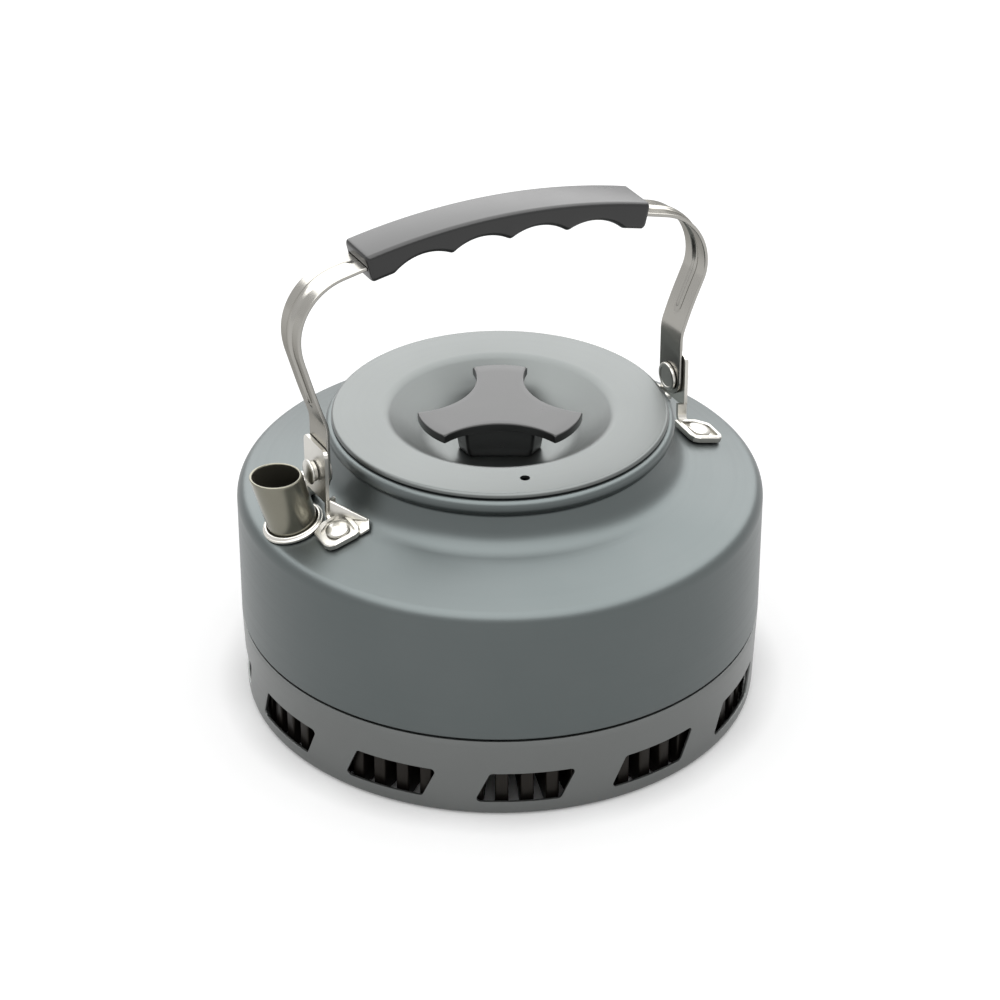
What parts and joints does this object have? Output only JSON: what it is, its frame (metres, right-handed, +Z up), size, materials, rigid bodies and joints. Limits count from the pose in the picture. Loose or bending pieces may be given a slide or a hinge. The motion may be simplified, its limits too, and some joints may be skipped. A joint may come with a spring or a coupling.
{
  "type": "camping kettle",
  "caption": "Low, wide camping kettle with a pleated heat-exchanger base in a vented skirt, a lift-off lid with a lobed knob, a stub spout and a folding bail with a finger grip.",
  "frame": {"origin": "on the vessel's axis, on the surface the kettle stands on", "axes": "+Z up along the vessel's axis; +X along the bail's pivot line, away from the spout; +Y completes a right-handed frame"},
  "size_m": [0.1747, 0.172, 0.1734],
  "materials": {
    "anodised_body": "satin hard-anodised",
    "anodised_lid": "satin anodised, lighter than the body",
    "fin_aluminium": "plain mill finish",
    "stainless": "polished",
    "black_plastic": "satin moulded"
  },
  "bodies": {
    "kettle": {"body_shell": "anodised_body", "vented_skirt": "anodised_body", "heat_exchanger_fins": "fin_aluminium", "spout_tube": "stainless", "spout_collar": "stainless", "bracket_rear_side": "stainless", "bracket_spout_side": "stainless", "foot_rivet_rear_front": "stainless", "foot_rivet_rear_back": "stainless", "foot_rivet_spout_front": "stainless", "foot_rivet_spout_back": "stainless", "pivot_rivet_rear": "stainless", "pivot_rivet_spout": "stainless", "pivot_bush_rear": "stainless", "pivot_bush_spout": "stainless"},
    "bail": {"bail_strap": "stainless", "grip": "black_plastic"},
    "lid": {"lid_pan": "anodised_lid", "lid_plug_ring": "anodised_lid", "knob": "black_plastic", "knob_washer": "stainless", "knob_screw": "stainless"}
  },
  "joints": [
    {"name": "bail_swing", "type": "hinge", "parent": "kettle", "child": "bail", "pos_m": [0, 0, 0.09558], "axis": [1, 0, 0], "range_deg": [-96, 96]},
    {"name": "lid_lift", "type": "slide", "parent": "kettle", "child": "lid", "axis": [0, 0, 1], "range_m": [0, 0.03]}
  ]
}
